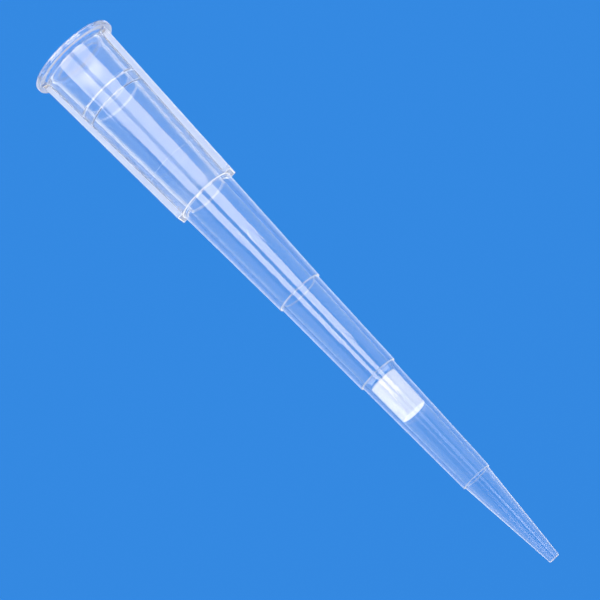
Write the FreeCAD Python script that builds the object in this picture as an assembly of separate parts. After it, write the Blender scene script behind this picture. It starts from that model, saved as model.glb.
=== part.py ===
"""A filtered pipette tip: one clear moulded body, and the porous filter plug pressed into its bore.

The tip stands on its mouth. The origin is the centre of the mouth's end face, and +Z runs along the
axis to the nozzle, so a height is also a depth from the mouth. All sizes are in millimetres.
"""
import FreeCAD
import Part
import os
from collections import namedtuple

# The stages below the collar's shoulder, from the widest to the nozzle. Each is a taper that starts a
# small step inside the one before it. The bore tapers smoothly past those steps, so only the wall at
# each stage's end is given.
Stage = namedtuple("Stage", "length step_in end_radius end_wall")
BARREL_TOP_RADIUS = 2.37
BARREL_TOP_WALL = 0.61
UPPER_BARREL = Stage(length=10.54, step_in=0.0, end_radius=2.00, end_wall=0.48)
MIDDLE_BARREL = Stage(length=8.70, step_in=0.12, end_radius=1.69, end_wall=0.40)
LOWER_BARREL = Stage(length=10.80, step_in=0.115, end_radius=1.29, end_wall=0.32)
NOZZLE = Stage(length=8.40, step_in=0.11, end_radius=0.45, end_wall=0.20)
STAGES = [UPPER_BARREL, MIDDLE_BARREL, LOWER_BARREL, NOZZLE]

# The collar, a round taper that holds the pipette's end cone
SHOULDER_HEIGHT = 15.56
SHOULDER_STEP = 0.16
COLLAR_TOP_RADIUS = 3.06
COLLAR_TOP_WALL = 0.66

# Two broad square-edged ribs, on opposite sides of the collar along X, that end square at the shoulder
RIB_WIDTH = 2.50
RIB_TOP_RISE = 0.23
RIB_END_RISE = 0.25

# The flange round the mouth, which the ejector sleeve pushes on
FLANGE_OVERHANG = 0.46
FLANGE_DEPTH = 0.47
FLANGE_MOUTH_ROUND = 0.12
FLANGE_BACK_ROUND = 0.08
FLANGE_ROOT_FILLET = 0.30

# The mouth's rounded lead-in, and the raised land inside the collar that seals on the cone
LIP_WIDTH = 0.53
LEAD_IN_DEPTH = 0.95
LEAD_IN_ROUND = 1.00
SEAL_HEIGHT = 4.40
SEAL_LENGTH = 0.90
SEAL_RISE = 0.10
SEAL_RAMP = 0.15

# The filter plug, and the narrower bore at the top of the lower barrel that grips it
SEAT_LEAD = 0.40
SEAT_WALL = 0.37
PLUG_PAST_LEAD = 0.15
PLUG_LENGTH = 3.50
PLUG_BEVEL = 0.12

# How closely a ring edge has to match the radius and height that it is looked up by
RING_MATCH = 1e-6

# Sizes that follow from those above
COLLAR_END_RADIUS = BARREL_TOP_RADIUS + SHOULDER_STEP
RIB_TOP_REACH = COLLAR_TOP_RADIUS + RIB_TOP_RISE
RIB_END_REACH = COLLAR_END_RADIUS + RIB_END_RISE
FLANGE_RADIUS = RIB_TOP_REACH + FLANGE_OVERHANG
MOUTH_RADIUS = FLANGE_RADIUS - LIP_WIDTH
COLLAR_BORE_TOP_RADIUS = COLLAR_TOP_RADIUS - COLLAR_TOP_WALL
COLLAR_BORE_END_RADIUS = BARREL_TOP_RADIUS - BARREL_TOP_WALL


def collar_bore_radius(height):
    """The radius of the collar's tapered bore at a height between the lead-in and the shoulder."""
    share = (height - LEAD_IN_DEPTH) / (SHOULDER_HEIGHT - LEAD_IN_DEPTH)
    return COLLAR_BORE_TOP_RADIUS + share * (COLLAR_BORE_END_RADIUS - COLLAR_BORE_TOP_RADIUS)


def stage_outlines():
    """The corners of the stages' outside and of their bore, as two lists of radius and height."""
    outside, bore = [], [(COLLAR_BORE_END_RADIUS, SHOULDER_HEIGHT)]
    height, radius = SHOULDER_HEIGHT, BARREL_TOP_RADIUS
    for stage in STAGES:
        start_radius = radius - stage.step_in
        outside.append((start_radius, height))
        if stage is LOWER_BARREL:
            bore.append((start_radius - SEAT_WALL, height + SEAT_LEAD))
        height += stage.length
        radius = stage.end_radius
        outside.append((radius, height))
        bore.append((radius - stage.end_wall, height))
    return outside, bore


def outer_outline():
    """Radius and height of each corner of the outside, ribs apart, from the mouth to the nozzle's end."""
    corners = [(FLANGE_RADIUS, 0.0), (FLANGE_RADIUS, FLANGE_DEPTH), (COLLAR_TOP_RADIUS, FLANGE_DEPTH),
               (COLLAR_END_RADIUS, SHOULDER_HEIGHT)]
    return corners + stage_outlines()[0]


def bore_outline():
    """Radius and height of each corner of the bore, from the mouth to the nozzle's outlet."""
    seal_end = SEAL_HEIGHT + SEAL_LENGTH
    seal_radius = collar_bore_radius(SEAL_HEIGHT + SEAL_LENGTH / 2) - SEAL_RISE
    ramp_start = SEAL_HEIGHT - SEAL_RAMP
    ramp_end = seal_end + SEAL_RAMP
    corners = [(MOUTH_RADIUS, 0.0), (COLLAR_BORE_TOP_RADIUS, LEAD_IN_DEPTH),
               (collar_bore_radius(ramp_start), ramp_start), (seal_radius, SEAL_HEIGHT),
               (seal_radius, seal_end), (collar_bore_radius(ramp_end), ramp_end)]
    return corners + stage_outlines()[1]


def bore_radius(height):
    """The bore's radius at a height, read along its outline."""
    corners = bore_outline()
    for (radius_a, height_a), (radius_b, height_b) in zip(corners, corners[1:]):
        if height_a <= height < height_b:
            return radius_a + (radius_b - radius_a) * (height - height_a) / (height_b - height_a)
    return corners[-1][0]


def revolve(outline):
    """A solid of revolution about Z from a closed outline of radius and height."""
    points = [FreeCAD.Vector(radius, 0, height) for radius, height in outline]
    section = Part.Face(Part.makePolygon(points + points[:1]))
    return section.revolve(FreeCAD.Vector(0, 0, 0), FreeCAD.Vector(0, 0, 1), 360)


def round_ring(solid, radius, height, round_radius):
    """The solid with one of its circular corners, given by its radius and height, rounded."""
    ring = []
    for edge in solid.Edges:
        circle = edge.Curve
        if isinstance(circle, Part.Circle):
            if abs(circle.Radius - radius) < RING_MATCH and abs(circle.Center.z - height) < RING_MATCH:
                ring.append(edge)
    return solid.makeFillet(round_radius, ring)


def make_ribs():
    """The two ribs as one piece: a bar across the axis along X, whose flat outer faces taper."""
    foot_height = FLANGE_DEPTH / 2
    side = [(RIB_TOP_REACH, foot_height), (RIB_TOP_REACH, FLANGE_DEPTH), (RIB_END_REACH, SHOULDER_HEIGHT)]
    outline = side + [(-reach, height) for reach, height in reversed(side)]
    points = [FreeCAD.Vector(reach, -RIB_WIDTH / 2, height) for reach, height in outline]
    return Part.Face(Part.makePolygon(points + points[:1])).extrude(FreeCAD.Vector(0, RIB_WIDTH, 0))


def make_bore():
    """The space inside the body, from the mouth's end face to the nozzle's."""
    corners = bore_outline()
    space = revolve([(0.0, 0.0)] + corners + [(0.0, corners[-1][1])])
    return round_ring(space, COLLAR_BORE_TOP_RADIUS, LEAD_IN_DEPTH, LEAD_IN_ROUND)


def make_body():
    """The moulded body: the stepped outside with its flange and ribs, less the bore."""
    outline = outer_outline()
    body = revolve([(0.0, 0.0)] + outline + [(0.0, outline[-1][1])])
    body = round_ring(body, FLANGE_RADIUS, 0.0, FLANGE_MOUTH_ROUND)
    body = round_ring(body, COLLAR_TOP_RADIUS, FLANGE_DEPTH, FLANGE_ROOT_FILLET)
    body = round_ring(body, FLANGE_RADIUS, FLANGE_DEPTH, FLANGE_BACK_ROUND)
    return body.fuse(make_ribs()).removeSplitter().cut(make_bore())


def make_plug():
    """The sintered plug: a short cylinder, bevelled at both ends, that takes the bore's taper."""
    lower_barrel_top = SHOULDER_HEIGHT + UPPER_BARREL.length + MIDDLE_BARREL.length
    start = lower_barrel_top + SEAT_LEAD + PLUG_PAST_LEAD
    end = start + PLUG_LENGTH
    side_start = start + PLUG_BEVEL
    side_end = end - PLUG_BEVEL
    passed = [corner for corner in bore_outline() if side_start < corner[1] < side_end]
    side = [(bore_radius(side_start), side_start)] + passed + [(bore_radius(side_end), side_end)]
    return revolve([(0.0, start), (bore_radius(start) - PLUG_BEVEL, start)] + side
                   + [(bore_radius(end) - PLUG_BEVEL, end), (0.0, end)])


os.makedirs("parts", exist_ok=True)
make_body().exportStep("parts/tip_body.step")
make_plug().exportStep("parts/filter_plug.step")
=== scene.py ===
import math

import bmesh
import bpy
from mathutils import Matrix, Vector


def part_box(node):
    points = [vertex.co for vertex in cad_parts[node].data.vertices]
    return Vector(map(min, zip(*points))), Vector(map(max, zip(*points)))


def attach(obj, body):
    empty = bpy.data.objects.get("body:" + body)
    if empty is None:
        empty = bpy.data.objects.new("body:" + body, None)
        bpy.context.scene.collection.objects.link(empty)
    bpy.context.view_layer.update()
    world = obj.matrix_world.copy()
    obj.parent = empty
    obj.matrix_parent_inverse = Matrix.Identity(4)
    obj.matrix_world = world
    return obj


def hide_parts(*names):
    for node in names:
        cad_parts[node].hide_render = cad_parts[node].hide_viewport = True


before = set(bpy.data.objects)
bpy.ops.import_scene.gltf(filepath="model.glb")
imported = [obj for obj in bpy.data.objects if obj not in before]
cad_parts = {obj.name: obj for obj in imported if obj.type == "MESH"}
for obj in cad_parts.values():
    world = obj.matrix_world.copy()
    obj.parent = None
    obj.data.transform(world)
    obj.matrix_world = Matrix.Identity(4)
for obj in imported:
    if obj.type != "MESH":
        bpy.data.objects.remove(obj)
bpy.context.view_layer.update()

# ---------------------------------------------------------------------------------------------------
# The tip's body is one injection moulding in clear natural polypropylene: a thin flange round the mouth,
# a collar with a broad rib on each side, three stepped barrels and the nozzle. It is made here as one ring
# of edges that is extruded up the outside and back down the bore.
MM = 0.001
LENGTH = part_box("tip_body")[1][2] / MM
FLANGE_RADIUS = 3.75
FLANGE_DEPTH = 0.47
FLANGE_MOUTH_ROUND = 0.12
FLANGE_BACK_ROUND = 0.08
ROOT_FILLET = 0.30
CORE_TOP, CORE_END = 3.06, 2.53
RIB_TOP, RIB_END = 3.29, 2.78
RIB_HALF_WIDTH = 1.25
RIB_CORNER_ROUND = 0.06
RIB_ROOT_ROUND = 0.12
RIB_FOOT_ROUND = 0.04
RIBS = 2
SHOULDER = 15.56
EDGE_ROUND = 0.05
STEP_ROUND = 0.03
HOLD = 0.02
# Each stage: the height where it ends, then its radius at its start and at its end
STAGES = [(26.10, 2.37, 2.00), (34.80, 1.88, 1.69), (45.60, 1.575, 1.29), (LENGTH, 1.18, 0.45)]
MOUTH_RADIUS = 3.22
LEAD_IN_DEPTH = 0.95
LEAD_IN_ROUND = 1.00
BORE_TOP, BORE_END = 2.40, 1.76
SEAL_START, SEAL_STOP, SEAL_RADIUS, SEAL_RAMP = 4.40, 5.30, 2.13, 0.15
SEAL_ROUND, COLLAR_BORE_ROUND, BORE_ROUND = 0.1, 2.0, 0.3
LEAD_IN_RING, WITNESS_RING = 0.72, 11.85
# The bore past the shoulder, as heights and radii: it narrows just before the filter plug
BORE = [(26.10, 1.52), (34.80, 1.29), (35.20, 1.205), (45.60, 0.97), (LENGTH, 0.25)]


def mix(a, b, share):
    return a + (b - a) * share


def rounded(corners, steps=6):
    """An outline of (radius, height, round) corners with each corner's round put in as an arc. A point just
    past each end of an arc keeps the shading of the long faces straight."""
    points = []
    for i, (radius, height, size) in enumerate(corners):
        here = Vector((radius, height))
        if size == 0 or i in (0, len(corners) - 1):
            points.append(here)
            continue
        before = (Vector(corners[i - 1][:2]) - here).normalized()
        after = (Vector(corners[i + 1][:2]) - here).normalized()
        half = before.angle(after) / 2
        centre = here + (before + after).normalized() * (size / math.sin(half))
        start = here + before * (size / math.tan(half)) - centre
        stop = here + after * (size / math.tan(half)) - centre
        points.append(centre + start + before * HOLD)
        for k in range(steps + 1):
            points.append(centre + start.slerp(stop, k / steps).normalized() * size)
        points.append(centre + stop + after * HOLD)
    return points


def ribbed_section(core, rib, half_width):
    """The collar's outline across the axis, from one rib's middle to the next, as turns and radii: rib is how
    far the rib's flat face stands from the axis."""
    corner_t = half_width - RIB_CORNER_ROUND
    corner_x = rib - RIB_CORNER_ROUND
    root_t = half_width + RIB_ROOT_ROUND
    root_x = math.sqrt((core + RIB_ROOT_ROUND) ** 2 - root_t ** 2)
    root_turn = math.atan2(root_t, root_x)
    half = []
    for k in range(9):
        half.append((rib, corner_t * k / 8))
    for k in range(1, 6):
        turn = math.pi / 2 * k / 5
        half.append((corner_x + RIB_CORNER_ROUND * math.cos(turn),
                     corner_t + RIB_CORNER_ROUND * math.sin(turn)))
    for k in range(6):
        turn = mix(-math.pi / 2, root_turn - math.pi, k / 5)
        half.append((root_x + RIB_ROOT_ROUND * math.cos(turn), root_t + RIB_ROOT_ROUND * math.sin(turn)))
    for k in range(1, 25):
        turn = mix(root_turn, math.pi / RIBS, k / 24)
        half.append((core * math.cos(turn), core * math.sin(turn)))
    polar = [(math.atan2(t, x), math.hypot(x, t)) for x, t in half]
    return polar + [(2 * math.pi / RIBS - turn, radius) for turn, radius in polar[-2:0:-1]]


reference = ribbed_section(CORE_END, RIB_END, RIB_HALF_WIDTH)


def place_ring(ring, height, core, rib=None, half_width=None):
    """Moves a ring's vertices to a height: onto a circle, or onto the ribbed section if a rib is given."""
    section = ribbed_section(core, rib, half_width) if rib else [(turn, core) for turn, _ in reference]
    for i, vertex in enumerate(ring):
        turn, radius = section[i % len(section)]
        turn += 2 * math.pi / RIBS * (i // len(section))
        vertex.co = Vector((radius * math.cos(turn), radius * math.sin(turn), height)) * MM


def next_ring(mesh, ring):
    """Extrudes a closed ring of edges and gives the new ring, in the same order."""
    edges = [mesh.edges.get((a, b)) for a, b in zip(ring, ring[1:] + ring[:1])]
    made = bmesh.ops.extrude_edge_only(mesh, edges=edges)["geom"]
    fresh = {v for v in made if isinstance(v, bmesh.types.BMVert)}
    return [next(e.other_vert(v) for e in v.link_edges if e.other_vert(v) in fresh) for v in ring]


def collar_at(height):
    """The core's radius and the ribs' radius at a height on the collar."""
    share = (height - FLANGE_DEPTH) / (SHOULDER - FLANGE_DEPTH)
    return mix(CORE_TOP, CORE_END, share), mix(RIB_TOP, RIB_END, share)


def bore_at(height):
    """The collar's bore radius at a height, the seal's land apart."""
    return mix(BORE_TOP, BORE_END, (height - LEAD_IN_DEPTH) / (SHOULDER - LEAD_IN_DEPTH))


def put_in_order(mesh):
    """Lists a mesh's faces by their vertices, so that every run gives them in the same order."""
    mesh.verts.index_update()

    def rank(face):
        numbers = [vertex.index for vertex in face.verts]
        return min(numbers) * len(mesh.verts) + max(numbers)

    mesh.faces.sort(key=rank)


stations = []
flange = [(MOUTH_RADIUS, 0, 0), (FLANGE_RADIUS, 0, FLANGE_MOUTH_ROUND),
          (FLANGE_RADIUS, FLANGE_DEPTH, FLANGE_BACK_ROUND), (RIB_TOP, FLANGE_DEPTH, 0)]
for point in rounded(flange)[1:-1]:
    stations.append((point.y, point.x))
for k in range(9):
    turn = math.pi / 2 * k / 8
    rise, flare = ROOT_FILLET * (1 - math.cos(turn)), ROOT_FILLET * (1 - math.sin(turn))
    core, rib = collar_at(FLANGE_DEPTH + rise)
    stations.append((FLANGE_DEPTH + rise, core + flare, rib + min(flare, RIB_FOOT_ROUND), RIB_HALF_WIDTH))
for k in range(31):
    height = mix(FLANGE_DEPTH + ROOT_FILLET + HOLD, SHOULDER - EDGE_ROUND - HOLD, k / 30)
    stations.append((height, *collar_at(height), RIB_HALF_WIDTH))
for k in range(5):
    turn = math.pi / 2 * k / 4
    inset = EDGE_ROUND * (1 - math.cos(turn))
    core, rib = collar_at(SHOULDER)
    stations.append((SHOULDER - EDGE_ROUND * (1 - math.sin(turn)), core - inset, rib - inset,
                     RIB_HALF_WIDTH - inset))
outside = [(CORE_END, SHOULDER, 0)]
bottom = SHOULDER
for top, start_radius, end_radius in STAGES:
    outside += [(start_radius, bottom, STEP_ROUND), (end_radius, top, STEP_ROUND)]
    bottom = top
outside.append((BORE[-1][1], LENGTH, 0))
for point in rounded(outside)[1:-1]:
    stations.append((point.y, point.x))
bore = [(MOUTH_RADIUS, 0, 0), (BORE_TOP, LEAD_IN_DEPTH, LEAD_IN_ROUND),
        (bore_at(SEAL_START - SEAL_RAMP), SEAL_START - SEAL_RAMP, SEAL_ROUND),
        (SEAL_RADIUS, SEAL_START, SEAL_ROUND),
        (SEAL_RADIUS, SEAL_STOP, SEAL_ROUND),
        (bore_at(SEAL_STOP + SEAL_RAMP), SEAL_STOP + SEAL_RAMP, SEAL_ROUND),
        (BORE_END, SHOULDER, COLLAR_BORE_ROUND)]
for height, radius in BORE:
    bore.append((radius, height, 0 if height == LENGTH else BORE_ROUND))
for point in reversed(rounded(bore)):
    stations.append((point.y, point.x))

body_mesh = bmesh.new()
ring = bmesh.ops.create_circle(body_mesh, segments=RIBS * len(reference), radius=FLANGE_RADIUS * MM)["verts"]
ring = sorted(ring, key=lambda v: round(math.atan2(v.co.y, v.co.x), 6) % (2 * math.pi))
first_ring = ring
place_ring(ring, *stations[0])
for station in stations[1:]:
    ring = next_ring(body_mesh, ring)
    place_ring(ring, *station)
closing = [body_mesh.edges.get((a, b)) for r in (ring, first_ring) for a, b in zip(r, r[1:] + r[:1])]
bmesh.ops.bridge_loops(body_mesh, edges=closing)
bmesh.ops.recalc_face_normals(body_mesh, faces=body_mesh.faces)
put_in_order(body_mesh)
tip = bpy.data.objects.new("clear_tip", bpy.data.meshes.new("clear_tip"))
bpy.context.scene.collection.objects.link(tip)
body_mesh.to_mesh(tip.data)
body_mesh.free()
tip.data.polygons.foreach_set("use_smooth", [True] * len(tip.data.polygons))
tip.data.set_sharp_from_angle(angle=math.radians(20))


class Sum:
    """A socket that Python's operators can be used on: each one adds its Math node."""

    def __init__(self, shader, socket):
        self.shader, self.socket = shader, socket

    def maths(self, operation, *values):
        return self.shader.node("ShaderNodeMath", {"operation": operation}, *values)

    def __add__(self, other):
        return self.maths("ADD", self, other)

    def __sub__(self, other):
        return self.maths("SUBTRACT", self, other)

    def __rsub__(self, other):
        return self.maths("SUBTRACT", other, self)

    def __mul__(self, other):
        return self.maths("MULTIPLY", self, other)

    def __truediv__(self, other):
        return self.maths("DIVIDE", self, other)

    def __pow__(self, other):
        return self.maths("POWER", self, other)

    def __abs__(self):
        return self.maths("ABSOLUTE", self)

    __radd__, __rmul__ = __add__, __mul__

    def clamped(self):
        return self.shader.node("ShaderNodeClamp", {}, self)


class Shader:
    """A material's or the world's node tree, filled by one method. A node's sockets are given in order, by
    name, or by number where two share a name."""

    def __init__(self, owner):
        owner.use_nodes = True
        self.tree = owner.node_tree
        self.tree.nodes.clear()

    def node(self, kind, settings, *values, output=0, numbered=(), **named):
        made = self.tree.nodes.new(kind)
        for name, value in settings.items():
            setattr(made, name, value)
        by_name = [(name.replace("_", " "), value) for name, value in named.items()]
        for key, value in [*enumerate(values), *numbered, *by_name]:
            if isinstance(value, Sum):
                self.tree.links.new(value.socket, made.inputs[key])
            else:
                made.inputs[key].default_value = value
        return Sum(self, made.outputs[output]) if len(made.outputs) else made


clear = bpy.data.materials.new("clear_polypropylene")
shader = Shader(clear)
place = shader.node("ShaderNodeTexCoord", {}, output="Object")
millimetres = shader.node("ShaderNodeVectorMath", {"operation": "SCALE"}, place, Scale=1 / MM)
across_x = shader.node("ShaderNodeSeparateXYZ", {}, millimetres, output="X")
across_y = shader.node("ShaderNodeSeparateXYZ", {}, millimetres, output="Y")
along = shader.node("ShaderNodeSeparateXYZ", {}, millimetres, output="Z")
radius = (across_x * across_x + across_y * across_y) ** 0.5
core_radius = (along - FLANGE_DEPTH) * ((CORE_END - CORE_TOP) / (SHOULDER - FLANGE_DEPTH)) + CORE_TOP


def past(distance, fade):
    """0 up to a distance of 0, rising to 1 over the given length beyond it."""
    return (distance / fade).clamped()


def ring_line(height, width):
    """1 on a thin band round the piece at a height, fading to 0 at the given width from it."""
    return (1 - abs(along - height) / width).clamped()


# Where on the piece a point lies: on a rib, on a rib's flank, on its square end, and so on
on_rib = past(radius - core_radius - 0.05 + along * 0.004, 0.05) * past(along - 0.6, 0.3)
on_rib = on_rib * past(SHOULDER - 0.04 - along, 0.05)
on_flank = past(abs(across_y) - RIB_HALF_WIDTH + 0.25, 0.15)
in_end_face = past(radius - STAGES[0][1] - 0.06, 0.03) * past(RIB_END - 0.09 - abs(across_x), 0.03)
in_end_face = in_end_face * past(RIB_HALF_WIDTH - 0.14 - abs(across_y), 0.03)
in_bore = past(core_radius - 0.3 - radius, 0.1)
on_collar = past(SHOULDER - along, 0.4)
on_nozzle = past(along - STAGES[2][0], 0.4)

# Painted highlights, thin white lines where faces meet, and a faint line where the mould's cores met: height,
# width and strength
OUTSIDE_LINES = [(STAGES[0][0], 0.024, 0.5), (STAGES[1][0], 0.024, 0.5), (STAGES[2][0], 0.024, 0.3),
                 (LENGTH, 0.024, 0.5), (0, 0.06, 0.5), (FLANGE_DEPTH, 0.05, 0.25)]
BORE_LINES = [(SEAL_START, 0.09, 0.6), (SEAL_STOP, 0.08, 0.6),
              (LEAD_IN_RING, 0.05, 0.35), (WITNESS_RING, 0.06, 0.2)]
edges = ring_line(SHOULDER, 0.04) * (1 - in_end_face) * 0.8
for height, width, strength in OUTSIDE_LINES:
    edges = edges + ring_line(height, width) * strength
for height, width, strength in BORE_LINES:
    edges = edges + ring_line(height, width) * strength * in_bore
flow = shader.node("ShaderNodeMapping", {}, millimetres, Scale=(2.6, 2.6, 0.16))
streaks = shader.node("ShaderNodeTexNoise", {}, flow, Scale=3.0, Detail=4.0, output="Fac")
grain = shader.node("ShaderNodeTexNoise", {}, millimetres, Scale=28.0, Detail=3.0, output="Fac")
draw_lines = streaks * (on_collar * 1.2 + 0.15) * (1 - on_nozzle)
relief = shader.node("ShaderNodeBump", {}, Strength=0.12, Distance=0.02 * MM,
                     Height=draw_lines + grain * on_rib * 0.6)
dullness = on_rib * 0.22 + on_collar * (in_bore * 0.11 + 0.03) + 0.03
plastic = shader.node("ShaderNodeBsdfPrincipled", {}, Base_Color=(0.99, 0.995, 1.0, 1), IOR=1.49,
                      Transmission_Weight=1.0, Roughness=dullness, Normal=relief)
milk = shader.node("ShaderNodeBsdfPrincipled", {}, Base_Color=(0.95, 0.95, 0.95, 1), Roughness=0.45, IOR=1.49,
                   Normal=relief)
glancing = shader.node("ShaderNodeLayerWeight", {}, 0.5, output="Facing")
mirror = shader.node("ShaderNodeFresnel", {}, 1.49)
# Painted highlight: a bright line of white haze on the collar's bore, peaking where the bore is seen near the
# critical angle
painted_bore_glint = ((mirror * (1 - mirror) * 4 - 0.4) * 1.6).clamped() * in_bore * on_collar
# The nozzle's outer skin is all that lies beyond a cone just inside it
SKIN_START, SKIN_TAPER = 1.075, 0.0863
under_skin = SKIN_START - (along - STAGES[2][0]) * SKIN_TAPER
on_outside = past(radius - under_skin, 0.03) * on_nozzle
# Painted sheen: white haze where a surface is seen edge-on, stronger on the nozzle's outer skin, draws bright
# outlines
painted_outline_sheen = glancing ** 5.0 * 0.7 + glancing ** 3.0 * on_outside * 0.8
veil = (streaks * 0.02 + 0.01) * (1 - on_nozzle * 0.4)
frosting = on_rib * (on_flank * 0.20 + 0.16)
# Frosting and veil are the plastic's own haze; the lines, the bore glint and the outline sheen are painted
# highlights mixed in with the same white
haze_and_painted_glints = (frosting + veil + edges + painted_bore_glint * 0.8 + painted_outline_sheen).clamped()
both = shader.node("ShaderNodeMixShader", {}, haze_and_painted_glints, plastic, milk)
# Lamps shine through the wall onto the plug
lets_light_in = shader.node("ShaderNodeBsdfTransparent", {}, (0.95, 0.96, 0.98, 1))
in_shadow = shader.node("ShaderNodeLightPath", {}, output="Is Shadow Ray")
surface = shader.node("ShaderNodeMixShader", {}, in_shadow, both, lets_light_in)
shader.node("ShaderNodeOutputMaterial", {}, surface)
tip.data.materials.append(clear)
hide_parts("tip_body")
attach(tip, "root")

# ---------------------------------------------------------------------------------------------------
# The filter is a short plug of white sintered polyethylene beads, pressed into the lower barrel, whose
# taper it takes. Its pores stop liquid and droplets from reaching the pipette. It is spun from its outline.
PLUG_START, PLUG_END = (corner[2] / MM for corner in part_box("filter_plug"))
PLUG_ROUND = 0.15
CLEARANCE = 0.003


def seat_at(height):
    """The bore's radius at a height in the lower barrel."""
    (seat_top, wide), (seat_end, narrow) = BORE[2], BORE[3]
    return mix(wide, narrow, (height - seat_top) / (seat_end - seat_top))


plug_outline = rounded([(0, PLUG_START, 0), (seat_at(PLUG_START) - CLEARANCE, PLUG_START, PLUG_ROUND),
                        (seat_at(PLUG_END) - CLEARANCE, PLUG_END, PLUG_ROUND), (0, PLUG_END, 0)])
plug_mesh = bmesh.new()
points = [plug_mesh.verts.new((point.x * MM, 0, point.y * MM)) for point in plug_outline]
sides = [plug_mesh.edges.new(pair) for pair in zip(points, points[1:])]
bmesh.ops.subdivide_edges(plug_mesh, edges=[sides[len(sides) // 2]], cuts=24)
bmesh.ops.spin(plug_mesh, geom=plug_mesh.verts[:] + plug_mesh.edges[:], cent=(0, 0, 0), axis=(0, 0, 1),
               angle=2 * math.pi, steps=96, use_merge=True)
bmesh.ops.remove_doubles(plug_mesh, verts=plug_mesh.verts, dist=1e-7)
bmesh.ops.recalc_face_normals(plug_mesh, faces=plug_mesh.faces)
put_in_order(plug_mesh)
plug = bpy.data.objects.new("porous_plug", bpy.data.meshes.new("porous_plug"))
bpy.context.scene.collection.objects.link(plug)
plug_mesh.to_mesh(plug.data)
plug_mesh.free()
plug.data.polygons.foreach_set("use_smooth", [True] * len(plug.data.polygons))
plug.data.set_sharp_from_angle(angle=math.radians(40))
sintered = bpy.data.materials.new("sintered_polyethylene")
shader = Shader(sintered)
place = shader.node("ShaderNodeTexCoord", {}, output="Object")
millimetres = shader.node("ShaderNodeVectorMath", {"operation": "SCALE"}, place, Scale=1 / MM)
beads = shader.node("ShaderNodeTexVoronoi", {"feature": "SMOOTH_F1"}, millimetres, Scale=6.5, Smoothness=0.4,
                    output="Distance")
clumps = shader.node("ShaderNodeTexNoise", {}, millimetres, Scale=1.4, Detail=3.0, output="Fac")
pore = (beads * 1.5 - 0.25).clamped()
BEAD_WHITE = (0.97, 0.97, 0.97, 1)
PORE_GREY = (0.78, 0.82, 0.86, 1)
shade = shader.node("ShaderNodeMix", {"data_type": "RGBA"}, pore * 0.35 + clumps * 0.12, output=2,
                    numbered=((6, BEAD_WHITE), (7, PORE_GREY)))
relief = shader.node("ShaderNodeBump", {}, Strength=0.4, Distance=0.04 * MM, Height=1 - pore)
powder = shader.node("ShaderNodeBsdfPrincipled", {}, Base_Color=shade, Roughness=0.85, Normal=relief)
shader.node("ShaderNodeOutputMaterial", {}, powder)
plug.data.materials.append(sintered)
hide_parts("filter_plug")
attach(plug, "root")

# ---------------------------------------------------------------------------------------------------
# The camera looks at the tip's side from a little above, past the nozzle's end, and is rolled so that
# the tip lies corner to corner with its mouth at the upper left.
VIEW_ABOVE = math.radians(11.3)
VIEW_TURN = math.radians(-2.0)
VIEW_ROLL = math.radians(136.25)
VIEW_HEIGHT, VIEW_DISTANCE, VIEW_WIDTH = 26.5, 250.0, 45.6
VIEW_ASIDE = 0.38
toward = Vector((math.sin(VIEW_TURN), -math.cos(VIEW_TURN), 0))
upward = Vector((0, 0, 1))
back = toward * math.cos(VIEW_ABOVE) + upward * math.sin(VIEW_ABOVE)
level_up = (upward - back * upward.dot(back)).normalized()
level_right = level_up.cross(back)
right = level_right * math.cos(VIEW_ROLL) + level_up * math.sin(VIEW_ROLL)
up = level_up * math.cos(VIEW_ROLL) - level_right * math.sin(VIEW_ROLL)
look_at = upward * VIEW_HEIGHT + level_right * VIEW_ASIDE
camera = bpy.data.objects.new("camera", bpy.data.cameras.new("camera"))
bpy.context.scene.collection.objects.link(camera)
turned = Matrix((right, up, back)).transposed().to_4x4()
turned.translation = (look_at + back * VIEW_DISTANCE) * MM
camera.matrix_world = turned
SENSOR = 36
camera.data.sensor_width = SENSOR
camera.data.lens = SENSOR * VIEW_DISTANCE / VIEW_WIDTH
camera.data.clip_start = 0.005
bpy.context.scene.camera = camera

# ---------------------------------------------------------------------------------------------------
# The floor is a plain blue disc, which the tip stands on, and the world beyond it shows the same blue. It is
# left out of reflections, so that lamps below its level show in the tip's gloss. It looks its own plain
# colour to the
# camera and through the plastic, with only a trace of shadow.
BACKDROP = (0.035, 0.25, 0.76, 1)
PLAIN_SHARE = 0.97
floor_mesh = bmesh.new()
bmesh.ops.create_circle(floor_mesh, cap_ends=True, segments=96, radius=3.0)
floor = bpy.data.objects.new("floor", bpy.data.meshes.new("floor"))
bpy.context.scene.collection.objects.link(floor)
floor_mesh.to_mesh(floor.data)
floor_mesh.free()
floor.visible_glossy = False
sheet = bpy.data.materials.new("blue_sheet")
shader = Shader(sheet)
ray = shader.node("ShaderNodeLightPath", {}, output="Is Camera Ray")
through = shader.node("ShaderNodeLightPath", {}, output="Is Transmission Ray")
seen = (ray + through).clamped()
paper = shader.node("ShaderNodeBsdfDiffuse", {}, BACKDROP)
glow = shader.node("ShaderNodeEmission", {}, BACKDROP, 1.0)
surface = shader.node("ShaderNodeMixShader", {}, seen * PLAIN_SHARE, paper, glow)
shader.node("ShaderNodeOutputMaterial", {}, surface)
floor.data.materials.append(sheet)

# ---------------------------------------------------------------------------------------------------
# Soft studio light in a pale room. A large key lamp on each side lights the pale surfaces, and a little
# warmth in it makes up for the blue around. All other lamps show only in gloss. The narrow strips draw the
# bright lines down the stages, and are cut by height, because each stage's taper mirrors its own height.
LAMP_DISTANCE = 400.0


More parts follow.
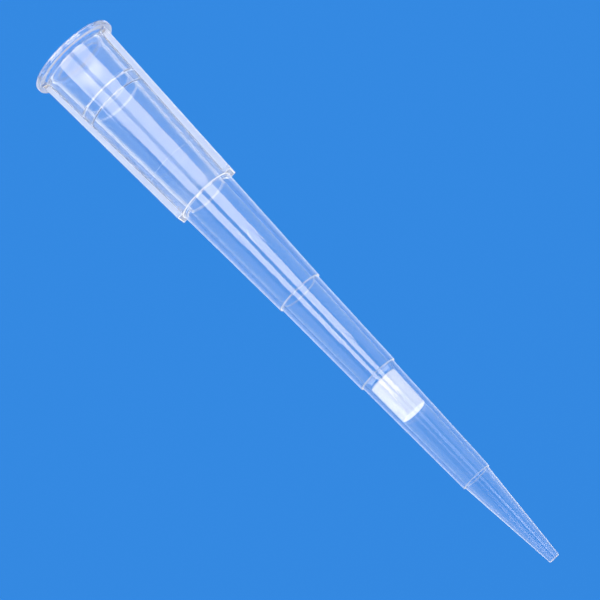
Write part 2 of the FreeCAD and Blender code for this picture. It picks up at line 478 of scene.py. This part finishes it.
def soft_box(name, side, turns, heights, radiance):
    """A lamp on one side of the camera, over a span of angles about the tip's axis and of heights."""
    middle = math.radians(sum(turns) / 2)
    width = 2 * LAMP_DISTANCE * math.tan(math.radians((turns[1] - turns[0]) / 2))
    direction = toward * math.cos(middle) + level_right * (side * math.sin(middle))
    lamp = bpy.data.lights.new(name, "AREA")
    lamp.shape = "RECTANGLE"
    lamp.size, lamp.size_y = width * MM, (heights[1] - heights[0]) * MM
    lamp.energy = radiance * math.pi * lamp.size * lamp.size_y
    holder = bpy.data.objects.new(name, lamp)
    bpy.context.scene.collection.objects.link(holder)
    facing = Matrix((upward.cross(direction), upward, direction)).transposed().to_4x4()
    facing.translation = (direction * LAMP_DISTANCE + upward * (sum(heights) / 2)) * MM
    holder.matrix_world = facing
    holder.visible_camera = False
    return holder


LEFT, RIGHT = -1, 1
for side in (LEFT, RIGHT):
    key = soft_box("key", side, (25, 95), (70, 460), 3.2)
    key.visible_glossy = False
    key.data.color = (1.0, 0.92, 0.80)
NEUTRAL, WARM = (1.0, 1.0, 1.0), (1.0, 0.84, 0.58)
BOX, STRIP = (-150, 460), 11.0
# Name, side, angles from the camera, heights, radiance and colour
GLOSS_LAMPS = [("side_left", LEFT, (45, 110), BOX, 1.1, NEUTRAL),
               ("side_right", RIGHT, (45, 110), BOX, 1.1, NEUTRAL),
               ("rim_left", LEFT, (112, 168), BOX, 0.9, NEUTRAL),
               ("rim_right", RIGHT, (112, 168), BOX, 0.9, NEUTRAL),
               ("box_left", LEFT, (12, 31), (-5, 300), 2.6, NEUTRAL),
               ("box_right", RIGHT, (5, 17), (-5, 300), 1.8, NEUTRAL),
               ("strip_left_low", LEFT, (6.8, 46), (-400, -42), STRIP, WARM),
               ("strip_left_middle", LEFT, (6.8, 38), (-42, -24), STRIP, WARM),
               ("strip_left_high", LEFT, (6.8, 29), (-24, -5), STRIP, WARM),
               ("strip_right_lowest", RIGHT, (6.2, 50), (-400, -86), STRIP, WARM),
               ("strip_right_lower", RIGHT, (6.2, 38), (-86, -76), STRIP, WARM),
               ("strip_right_low", RIGHT, (6.2, 33), (-76, -42), STRIP, WARM),
               ("strip_right_middle", RIGHT, (6.2, 29), (-42, -24), STRIP, WARM),
               ("strip_right_high", RIGHT, (6.2, 25), (-24, -5), STRIP, WARM),
               ("strip_between", RIGHT, (-6.8, 6.2), (-400, -54), 5.0, WARM)]
for name, side, turns, heights, radiance, colour in GLOSS_LAMPS:
    lamp = soft_box(name, side, turns, heights, radiance)
    lamp.data.color = colour
    lamp.visible_diffuse = False
    lamp.visible_transmission = False
world = bpy.data.worlds.new("room")
bpy.context.scene.world = world
shader = Shader(world)
camera_ray = shader.node("ShaderNodeLightPath", {}, output="Is Camera Ray")
through = shader.node("ShaderNodeLightPath", {}, output="Is Transmission Ray")
mirrored = shader.node("ShaderNodeLightPath", {}, output="Is Glossy Ray")
room = shader.node("ShaderNodeBackground", {}, (1, 1, 1, 1), 0.5)
sky = shader.node("ShaderNodeBackground", {}, BACKDROP, 1.0)
sky_share = camera_ray + through * 0.8 + mirrored * 0.7
surroundings = shader.node("ShaderNodeMixShader", {}, sky_share, room, sky)
shader.node("ShaderNodeOutputWorld", {}, surroundings)

bpy.context.scene.view_settings.view_transform = "Standard"
